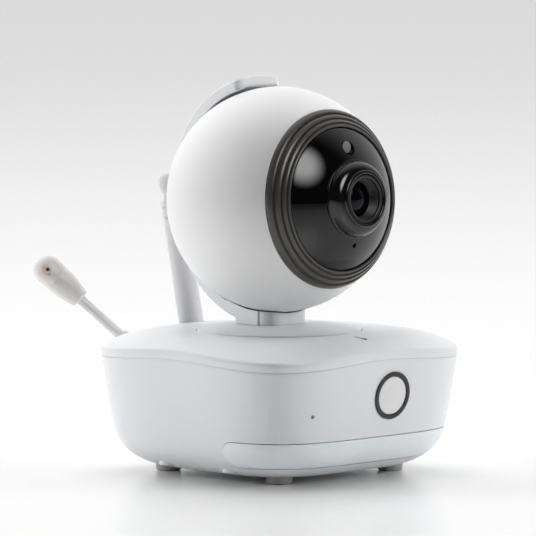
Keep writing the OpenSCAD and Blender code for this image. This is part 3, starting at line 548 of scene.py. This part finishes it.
def base_bowl():
    seam = SEAM_Z - SEAM_GAP
    edge = side_half(seam)
    outside = [(0, 2), (12, 2), (24, 2), (27.4, 2)] + lower_rounding()
    outside += [(side_half(z), z) for z in [ROUND_Z + 1.2 * i for i in range(20)]]
    outside += arc(edge - 0.08, seam - 0.08, 0.08, 0, 90)
    lip = [(BASE_HALF - 1.2, seam), (BASE_HALF - 1.2, SEAM_Z + 1.2), (BASE_HALF - WALL, SEAM_Z + 1.2)]
    inside = [(side_half(z) - WALL, z) for z in (34, 28, 22, 16, 12, 9, 7, 5.6)]
    inside += [(33.5, 4), (27.4, 4), (0, 4)]
    bowl = turned("base_bowl_shell", outside + lip + inside, sides=256)
    square_off(bowl, bowl_wave)
    posts = [rod(2.6, 3.5, 13, at(x, y, 0)) for x in (-26, 26) for y in (-26, 26)]
    posts += [rod(3.4, 3.5, 10, at(x, y, 0)) for x, y in CASE_SCREWS]
    posts += [rod(7.5, 0.9, 11.9)]
    combine(bowl, joined(posts), "UNION")
    combine(bowl, combine(side_band("groove", 1, 1.35), strip_tool(0.22), "INTERSECT"))
    holes = [rod(FOOT_R + 0.02, -1, 3, at(x, y, 0)) for x in (-FOOT_PLACE, FOOT_PLACE)
             for y in (-FOOT_PLACE, FOOT_PLACE)]
    holes += [rod(2.6, -1, 6.5, at(x, y, 0)) for x, y in CASE_SCREWS]
    holes += [rod(5, -1, 11.1)]
    centre = Vector((-19.5, 0, 0))
    ring_of = [(0, 0)] + [(4.6, 60 * i) for i in range(6)] + [(8, 60 * i + 30) for i in range(6)]
    holes += [rod(1.1, -1, 6, at(centre.x + r * cos(radians(a)), r * sin(radians(a)), 0), 24) for r, a in ring_of]
    combine(bowl, joined(holes))
    side_holes = [
        rod(RING_R - 0.6, -6, 6, BUTTON), rod(0.6, -5, 5, MICROPHONE, 24),
        rod(4, 0, 20, at(INLET_X, 40, INLET_Z, ALONG_Y)), rod(3.6, 0, 20, at(JACK_X, 40, JACK_Z, ALONG_Y)),
        block((-AERIAL_SLOT, AERIAL_Y - 4.5, AERIAL_Z - AERIAL_SLOT), (AERIAL_SLOT, AERIAL_Y + 25, REACH))]
    combine(bowl, joined(side_holes))
    fit(bowl, "base", WHITE_ABS, "white_housing", "base_bowl")


def base_top_cover():
    inner_crown = [0.95, 0.89, 0.82, 0.74, 0.66]
    shares = [0.655 + 0.015 * i for i in range(23)]
    top = [(BASE_HALF * s, CREASE_Z + (TOP_Z - CREASE_Z) * crown(s)) for s in shares]
    profile = [(9.5, 37.5), (9.5, RECESS_Z), (12.8, RECESS_Z), (RECESS_R, RECESS_Z)]
    profile += arc(RECESS_R + 0.35, TOP_Z - 0.35, 0.35, 180, 90)
    profile += [(28, TOP_Z), (30, TOP_Z)] + top
    profile += [(46.52, 40.33), (46.74, 40.08), (46.86, 39.75), (46.91, 39.35), (46.88, 38.9), (46.82, 38.3)]
    profile += arc(side_half(SEAM_Z) - 0.08, SEAM_Z + 0.08, 0.08, 0, -90)
    profile += [(BASE_HALF - 1.1, SEAM_Z), (BASE_HALF - 1.1, SEAM_Z + 1.5), (BASE_HALF - WALL - 0.1, SEAM_Z + 1.5)]
    profile += [(BASE_HALF * s, CREASE_Z + (TOP_Z - CREASE_Z) * crown(s) - 2) for s in inner_crown]
    profile += [(28, TOP_Z - 2), (28, RECESS_Z - 1.8), (12, RECESS_Z - 1.8), (12, 37.5), (9.5, 37.5)]
    cover = turned("base_top_shell", profile, sides=256)
    square_off(cover, cover_wave)
    low_z = AERIAL_Z - 6.1
    pocket = combine(
        block((-8, AERIAL_Y - 6.3, low_z), (8, AERIAL_Y + 2.8, low_z + 7.2)),
        block((-8, AERIAL_Y, low_z), (8, AERIAL_Y + 5.9, low_z + 5.5)), "UNION")
    combine(cover, pocket, "UNION")
    posts = [rod(3, 10, 42.4, at(x, y, 0)) for x, y in CASE_SCREWS]
    combine(cover, joined(posts), "UNION")
    # The aerial's slot has a round front end, as the knuckle turns in it
    slot = combine(
        block((-AERIAL_SLOT, AERIAL_Y, AERIAL_Z - AERIAL_SLOT), (AERIAL_SLOT, AERIAL_Y + 25, REACH)),
        rod(AERIAL_SLOT, AERIAL_Z - AERIAL_SLOT, REACH, at(0, AERIAL_Y + 0.1, 0)), "UNION")
    status = combine(
        block((-STATUS_R, STATUS_ENDS[0], 38), (STATUS_R, STATUS_ENDS[1], REACH)),
        joined([rod(STATUS_R, 38, REACH, at(0, y, 0), 32) for y in STATUS_ENDS]), "UNION")
    jack = rod(3.6, 0, 20, at(JACK_X, 40, JACK_Z, ALONG_Y))
    combine(cover, joined([slot, status, jack]))
    fit(cover, "base", WHITE_ABS, "white_housing", "base_top_cover")


def light_strip():
    strip = combine(side_band("light_strip_lens", 0.12, 1.3), strip_tool(0), "INTERSECT")
    soften(strip, 0.18, 50, 2)
    fit(strip, "base", DIFFUSER, "light_diffuser", "light_strip")


def rubber_feet():
    profile = [(0, 0), (3.0, 0), (3.5, 0.1), (3.85, 0.35), (FOOT_R, 0.8), (FOOT_R, 3), (0, 3)]
    feet = [seat(turned("rubber_foot", profile, 64), at(x, y, 0))
            for x in (-FOOT_PLACE, FOOT_PLACE) for y in (-FOOT_PLACE, FOOT_PLACE)]
    feet = joined(feet)
    feet.name = "rubber_foot_set"
    fit(feet, "base", FOOT_SILICONE, "foot_rubber", "rubber_feet")


def button_ring():
    inner = CAP_R + 0.1
    profile = [(inner, -3.4), (RING_R - 0.62, -3.4), (RING_R - 0.62, -0.2), (RING_R, -0.2)]
    profile += arc(RING_R - 0.25, 0.2, 0.25, 0, 90) + arc(inner + 0.2, 0.25, 0.2, 90, 180) + [(inner, -3.4)]
    fit(seat(turned("button_trim_ring", profile), BUTTON), "base", CHARCOAL, "charcoal_plastic", "button_ring")


def front_button():
    profile = [(0, 0.34), (2, 0.33), (4, 0.28), (5.2, 0.2)] + arc(CAP_R - 0.3, -0.12, 0.3, 75, 0)
    profile += [(CAP_R, -2.6), (1.5, -2.6), (1.5, -4.2), (0, -4.2)]
    cap = seat(turned("front_button_cap", profile), BUTTON)
    fit(cap, "front_button", CAP_PC, "button_cap", "front_button")


# ---- Turntable and arm -------------------------------------------------------------------------

def turntable():
    seat_r = 6.0
    profile = [(0, DISC_CROWN_Z), (seat_r, DISC_CROWN_Z)]
    for i in range(1, 16):
        share = i / 16
        profile.append((seat_r + (DISC_R - seat_r) * share,
                        DISC_CROWN_Z - (DISC_CROWN_Z - DISC_EDGE_Z) * share * share))
    profile += arc(DISC_R - 0.15, DISC_EDGE_Z - 0.15, 0.15, 75, 0)
    profile += [(DISC_R, DISC_UNDER_Z + 0.2), (DISC_R - 0.2, DISC_UNDER_Z), (8, DISC_UNDER_Z)]
    profile += [(8, 33.3), (7.3, 33.3), (7.3, 32.4), (8, 32.4), (8, 31.7), (5.5, 31.7), (5.5, 44), (0, 44)]
    disc = turned("turntable_disc", profile, sides=192)
    combine(disc, rod(2.2, 40, 50, at(0, 2.8, 0)))
    fit(disc, "turntable", WHITE_ABS, "white_housing", "turntable")


def neck_front_cover():
    half_w = NECK_HALF_W + 0.3
    neck = block((-half_w, NECK_FRONT_Y, NECK_Z), (half_w, -0.06, NECK_TOP_Z), "neck_front_shell")
    round_upright_edges(neck, NECK_FRONT_Y, 4.5)
    combine(neck, globe(CUP_R, HEAD))
    soften(neck, 0.08, 50, 2)
    fit(neck, "turntable", WHITE_ABS, "white_housing", "neck_front_cover")


def round_upright_edges(piece, y, radius):
    """Rounds the upright edges of a box that lie at a given depth."""
    mesh = piece.data
    for v in mesh.vertices:
        v.select = False
    for f in mesh.polygons:
        f.select = False
    for e in mesh.edges:
        a, b = (mesh.vertices[i].co / MM for i in e.vertices)
        e.select = abs(a.z - b.z) > 1 and abs(a.y - y) < 0.01 and abs(b.y - y) < 0.01
    only(piece)
    bpy.context.tool_settings.mesh_select_mode = (False, True, False)
    bpy.ops.object.mode_set(mode="EDIT")
    bpy.ops.mesh.bevel(offset=radius * MM, segments=16, affect="EDGES")
    leave()


def arm_shell():
    arm = band("arm_outer_shell", CUP_R, ARM_OUT_R, ARM_HALF_W, ARM_FOOT, ARM_TIP, ARM_TIP_ROUND, 0.6)
    neck = block((0.02 - ARM_HALF_W, 0, NECK_Z), (ARM_HALF_W - 0.02, NECK_REAR_Y, NECK_Z + 9))
    round_upright_edges(neck, NECK_REAR_Y, 2.0)
    combine(neck, globe(CUP_R, HEAD))
    combine(arm, neck, "UNION")
    combine(arm, block((-20, -10, NECK_Z - 12), (20, 60, NECK_Z)))
    combine(arm, band("seat", 30, ARM_SPLIT_R, 20, COVER_FOOT - 0.3, 95))
    combine(arm, band("channel", 36, ARM_OUT_R - 1.1, 7.4, -55, 48))
    fit(arm, "turntable", WHITE_ABS, "white_housing", "arm_shell", even=True)


def arm_inner_cover():
    cover = band("arm_inner_shell", ARM_IN_R, ARM_SPLIT_R - 0.02, ARM_HALF_W, COVER_FOOT, ARM_TIP, ARM_TIP_ROUND,
                 0.25)
    combine(cover, block((-2.1, 20, HEAD_Z - 5.1), (2.1, 50, HEAD_Z + 5.1)))
    fit(cover, "turntable", WHITE_ABS, "white_housing", "arm_inner_cover", even=True)


# ---- Head --------------------------------------------------------------------------------------

def ball_half(name, side, node):
    half = globe(BALL_R, FACE, name, 192, 128)
    look = FACE.to_3x3() @ Vector((0, 0, 1))
    edit(half)
    bpy.ops.mesh.bisect(plane_co=FACE.translation + look * OPENING_H * MM, plane_no=look, clear_outer=True)
    bpy.ops.mesh.select_all(action="SELECT")
    bpy.ops.mesh.bisect(plane_co=(side * 0.02 * MM, 0, 0), plane_no=(-side, 0, 0), clear_outer=True)
    leave()
    only(half)
    bpy.ops.object.modifier_add(type="SOLIDIFY")
    step = half.modifiers[-1]
    step.thickness = BALL_WALL * MM
    step.offset = -1
    bpy.ops.object.modifier_apply(modifier=step.name)
    combine(half, band("slot", 30, 40, 2.7, -40, 45))
    fit(half, "head", BALL_ABS, "white_housing", node)


def bezel_ring():
    profile = [
        (24.9, OPENING_H + 0.1), (27.55, OPENING_H + 0.1), (27.9, OPENING_H + 0.45), (27.75, 22.9), (27.3, 23.7),
        (26.95, 24.05), (26.6, 23.9), (26.45, 23.6), (26.15, 23.7), (26.12, 24.8), (25.85, 25.3), (25.3, 25.75),
        (25.0, 25.55), (24.9, 25.2), (24.62, 25.3), (24.6, 26.2), (24.35, 26.6), (23.95, 26.95),
        (23.65, 26.75), (23.52, 26.4), (23.27, 26.5), (23.24, 27.15), (23.05, 27.45), (22.75, 27.6),
        (22.4, 27.45), (WINDOW_R + 0.2, 27.1), (WINDOW_R + 0.2, 24.2), (21.4, 24.2), (21.4, 22.9),
        (22.3, 22.9), (22.3, 18.6), (17.5, 18.6), (17.5, 17), (24.9, 17), (24.9, OPENING_H + 0.1)]
    ring = turned("bezel_trim_ring", profile, sides=192)
    soften(ring, 0.08, 28, 2)
    fit(seat(ring, FACE), "head", BEZEL_ABS, "bezel_plastic", "bezel_ring")


def face_window():
    outer_r = BALL_R - 0.1
    inner_r = outer_r - 1.8
    edge = WINDOW_R - 0.2
    radii = [11.9 + (edge - 11.9) * i / 24 for i in range(25)]
    profile = [(r, sqrt(outer_r ** 2 - r * r)) for r in radii]
    profile += [(WINDOW_R - 0.05, sqrt(outer_r ** 2 - edge ** 2) - 0.15), (WINDOW_R, 26.6)]
    profile += [(r, sqrt(inner_r ** 2 - r * r)) for r in [WINDOW_R] + radii[::-4]]
    window = turned("face_window_lens", profile + profile[:1], sides=192)
    sensor = combine(rod(SENSOR_R + 0.03, 20, 32, at(0, SENSOR_UP, 0)), rod(2.45, 30.3, 40, at(0, SENSOR_UP, 0)),
                     "UNION")
    pinhole = rod(0.75, 20, 40, at(0, -14.4, 0), 24)
    combine(window, joined([sensor, pinhole]))
    fit(seat(window, FACE), "head", BLACK_GLOSS, "black_gloss", "face_window", angle=30)


def lens():
    bell = [(9.0 + 2.75 * cos(radians(a)), 33.8 + 3.5 * sin(radians(a))) for a in range(0, 90, 9)]
    collar = [(11.2, 29.2), (11.85, 29.2), (11.85, 33.1), (12.25, 33.1)] + arc(12.15, 33.3, 0.15, 0, 90)
    collar += [(11.85, 33.55)] + bell + [(8.95, 37.35)]
    collar += arc(8.5, 37.65, 0.4, 0, 90) + arc(8.0, 37.75, 0.3, 90, 180)
    collar += [(7.6, 37.4), (7.6, 31.5), (11.2, 31.5), (11.2, 29.2)]
    fit(seat(turned("lens_collar_bell", collar), FACE), "head", BLACK_PC, "black_plastic", "lens_collar")
    barrel = [(4, 23.2), (5.98, 23.2), (5.98, 31.8), (7.45, 32.4), (7.45, 37.5)] + arc(7.2, 37.6, 0.25, 10, 90)
    barrel += [(6.7, 37.8), (6.45, 37.6), (6.35, 37.2)]
    for i in range(8):
        barrel += [(6.3 - 0.09 * i, 36.9 - 0.4 * i), (6.17 - 0.09 * i, 36.8 - 0.4 * i)]
    barrel += [(5.54, 33.4), (5.54, 32.6), (4, 32.6), (4, 23.2)]
    fit(seat(turned("lens_barrel_tube", barrel), FACE), "head", MATT_BLACK, "black_plastic", "lens_barrel")
    dome = [(5.52 * sin(radians(a)), 27.6 + sqrt(64 - (5.52 * sin(radians(a))) ** 2)) for a in range(0, 91, 6)]
    glass = turned("lens_front_element", dome + [(5.52, 32.65), (0, 32.65)])
    fit(seat(glass, FACE), "head", LENS_GLASS, "lens_glass", "lens_front_glass")


def light_sensor_window():
    profile = [(0, 30.72), (0.9, 30.7), (1.5, 30.62)] + arc(SENSOR_R - 0.2, 30.4, 0.2, 75, 0)
    profile += [(SENSOR_R, 29.4), (0, 29.4)]
    disc = seat(seat(turned("light_sensor_disc", profile, 64), at(0, SENSOR_UP, 0)), FACE)
    fit(disc, "head", SENSOR_EPOXY, "sensor_window", "light_sensor_window")


# ---- Aerial and probe --------------------------------------------------------------------------

def aerial():
    length = AERIAL_LENGTH
    profile = [(0, 6), (4, 6)]
    profile += [(4 - 0.42 * i / 6, 6 + (length - 21.3) * i / 6) for i in range(1, 6)]
    profile += arc(3.33, length - 15.3, 0.25, 0, 90) + [(3.1, length - 15.05), (3.1, length - 14.65)]
    profile += arc(3.35, length - 14.4, 0.25, 270, 360) + arc(3.33, length - 11.9, 0.25, 0, 90)
    profile += [(3.05, length - 11.65), (3.05, length - 11.3)]
    profile += arc(3.25, length - 11.05, 0.25, 270, 360) + arc(3.2, length - 9.4, 0.25, 0, 90)
    profile += [(2.6, length - 9.1), (2.5, length - 8.4), (2.5, length - 6.6)]
    profile += [(2.75, length - 6.2), (3.1, length - 5.4), (3.22, length - 4.2), (3.15, length - 2.9)]
    profile += [(3.0 * cos(radians(a)), length - 2.4 + 2.4 * sin(radians(a))) for a in range(10, 91, 10)]
    rod_piece = seat(turned("aerial_rod_shell", profile, 96), AERIAL)
    fit(rod_piece, "aerial", AERIAL_ABS, "aerial_plastic", "aerial_rod")
    knuckle = combine(globe(4.02, at(0, 0, 0), "knuckle", 96, 48), rod(4, 0, 5.98, None, 96), "UNION")
    combine(knuckle, rod(1.56, -10, 10, at(0, 0, 0, 90, "Y")))
    knuckle.name = "aerial_knuckle_shell"
    fit(seat(knuckle, AERIAL), "aerial", AERIAL_ABS, "aerial_plastic", "aerial_knuckle")


def probe():
    profile = [(0, 0), (3, 0), (3, 0.5), (2.95, 1.5), (2.6, 4), (2.45, 5.6), (2.2, 6), (0, 6)]
    neck = seat(turned("probe_plug_elbow", profile, 64), PROBE)
    combine(neck, globe(3, at(JACK_X, PROBE_ELBOW_Y, JACK_Z), "elbow", 64, 32), "UNION")
    sleeve = turned("sleeve", [(0, 0), (2.8, 0), (3, 0.2), (3, 3.3), (0, 3.3)], 64)
    combine(neck, seat(sleeve, at(JACK_X, PROBE_ELBOW_Y - 3.3, JACK_Z, ALONG_Y)), "UNION")
    pin = rod(1.75, 34.2, 45.2, at(JACK_X, 0, JACK_Z, ALONG_Y), 48)
    combine(neck, pin, "UNION")
    fit(neck, "probe", PROBE_TPE, "probe_plastic", "probe_plug")
    profile = [(0, 6.02), (1.6, 6.02), (1.55, 14), (1.6, 22.6), (0, 22.6)]
    stem = seat(turned("probe_stem_tube", profile, 64), PROBE)
    fit(stem, "probe", STEM_PVC, "probe_plastic", "probe_stem")
    top = PROBE_LENGTH
    profile = [(0, 22.62), (2.4, 22.62), (2.9, 22.9), (3.2, 23.5), (3.4, 24.6), (3.8, 26.4), (4.2, 28.6)]
    profile += [(4.4, 30.5), (4.47, 32.4), (4.4, 32.6), (4.4, 32.8), (4.5, 33), (4.55, 34.6)]
    profile += [(4.55 * cos(radians(a)), top - 4.55 + 4.55 * sin(radians(a))) for a in range(0, 91, 9)]
    head = turned("probe_head_shell", profile, 96)
    combine(head, oval(4.9, 1.5, 1.0, 2.0))
    fit(seat(head, PROBE), "probe", PROBE_TPE, "probe_plastic", "probe_head")
    pad = oval(3.9, 1.45, 0.5, 1.95)
    pad.name = "probe_pad"
    fit(seat(pad, PROBE), "probe", PEACH_EPOXY, "probe_plastic")
    bead = globe(0.55, at(-0.5, 4.3, 36.9), "probe_sensor_bead", 48, 24)
    fit(seat(bead, PROBE), "probe", BLACK_EPOXY, "black_plastic", "probe_thermistor")


def oval(out, half_w, depth, half_h):
    """A lens-shaped oval on the probe's side, near its tip."""
    place = Vector((0, out, PROBE_LENGTH - 4.2)) * MM
    return globe(1, Matrix.LocRotScale(place, None, Vector((half_w, depth, half_h))), "oval", 64, 32)


# ---- Stage, lights and camera ------------------------------------------------------------------

def stage():
    """A pale glossy table, wide enough for every angle."""
    bpy.ops.object.select_all(action="DESELECT")
    bpy.ops.mesh.primitive_circle_add(vertices=128, radius=TABLE_R, fill_type="NGON")
    table = bpy.context.object
    table.name = "table"
    top = surface("lacquered_table", "#F6F6F6", 0.16, grain=2.0, depth=0.0005, mottle=0.01, mottle_mm=200,
                  spread=0.02, IOR=1.5)
    table.data.materials.append(top)


def soft_box(name, place, target, size, power, mirrored=False):
    """A soft lamp; a mirrored one shows only in glossy faces, fading towards its edges."""
    bpy.ops.object.select_all(action="DESELECT")
    bpy.ops.object.light_add(type="AREA", location=place)
    lamp = bpy.context.object
    lamp.name = name
    lamp.data.shape = "RECTANGLE"
    lamp.data.size, lamp.data.size_y = size
    lamp.data.energy = power
    lamp.visible_glossy, lamp.visible_diffuse = mirrored, not mirrored
    lamp.rotation_euler = (Vector(target) - Vector(place)).to_track_quat("-Z", "Y").to_euler()
    if mirrored:
        lamp.data.use_nodes = True
        tree = lamp.data.node_tree
        glow = tree.nodes["Emission"]
        across = add(tree, "ShaderNodeNewGeometry").outputs["Parametric"]
        spread = add(tree, "ShaderNodeVectorMath", {0: across, 1: (0.5, 0.5, 0)}, operation="DISTANCE")
        fade = add(tree, "ShaderNodeMapRange", {
            "Value": spread.outputs["Value"], "From Min": 0.5, "From Max": 0.1, "To Min": 0.0, "To Max": 1.2},
            interpolation_type="SMOOTHSTEP")
        tree.links.new(fade.outputs["Result"], glow.inputs["Strength"])


def room_light():
    """A pale room, bright behind the object and dim in front of it."""
    world = bpy.data.worlds.new("room")
    bpy.context.scene.world = world
    world.use_nodes = True
    tree = world.node_tree
    back = tree.nodes["Background"]
    way = add(tree, "ShaderNodeTexCoord").outputs["Generated"]
    facing = add(tree, "ShaderNodeVectorMath", {0: way, 1: (0.66, 0.66, 0.35)}, operation="DOT_PRODUCT")
    level = add(tree, "ShaderNodeMapRange", {
        "Value": facing.outputs["Value"], "From Min": 0.0, "From Max": 0.75, "To Min": 0.04, "To Max": 0.88},
        interpolation_type="SMOOTHSTEP")
    tree.links.new(level.outputs["Result"], back.inputs["Strength"])
    back.inputs["Color"].default_value = colour("#FFFFFF")


def camera():
    place = Vector((-1.5404, -1.5367, 0.2672))
    aim = Vector((0, 0, 0.060))
    bpy.ops.object.select_all(action="DESELECT")
    bpy.ops.object.camera_add(location=place)
    cam = bpy.context.object
    cam.rotation_euler = (aim - place).to_track_quat("-Z", "Y").to_euler()
    cam.data.lens = 470
    cam.data.sensor_width = 36
    cam.data.shift_x, cam.data.shift_y = -0.0209, 0.0205
    cam.data.clip_start, cam.data.clip_end = 0.05, 20
    bpy.context.scene.camera = cam


camera()
finish_kept_nodes()
base_bowl()
base_top_cover()
light_strip()
rubber_feet()
button_ring()
front_button()
turntable()
neck_front_cover()
arm_shell()
arm_inner_cover()
ball_half("ball_left_shell", -1, "head_shell_left")
ball_half("ball_right_shell", 1, "head_shell_right")
bezel_ring()
face_window()
lens()
light_sensor_window()
aerial()
probe()
stage()
room_light()
soft_box("overhead", (0.2, 0.3, 1.5), (0, 0, 0.05), (1.2, 1.2), 14)
soft_box("left", (-0.9, 1.15, 0.5), (0, 0, 0.06), (0.7, 0.7), 13)
soft_box("right", (0.95, -0.95, 0.45), (0, 0, 0.04), (0.6, 0.6), 9)
soft_box("window", (-0.3, -1.05, 0.95), (0, 0, 0.085), (1.3, 1.3), 34, mirrored=True)
bpy.context.scene.view_settings.view_transform = "Standard"
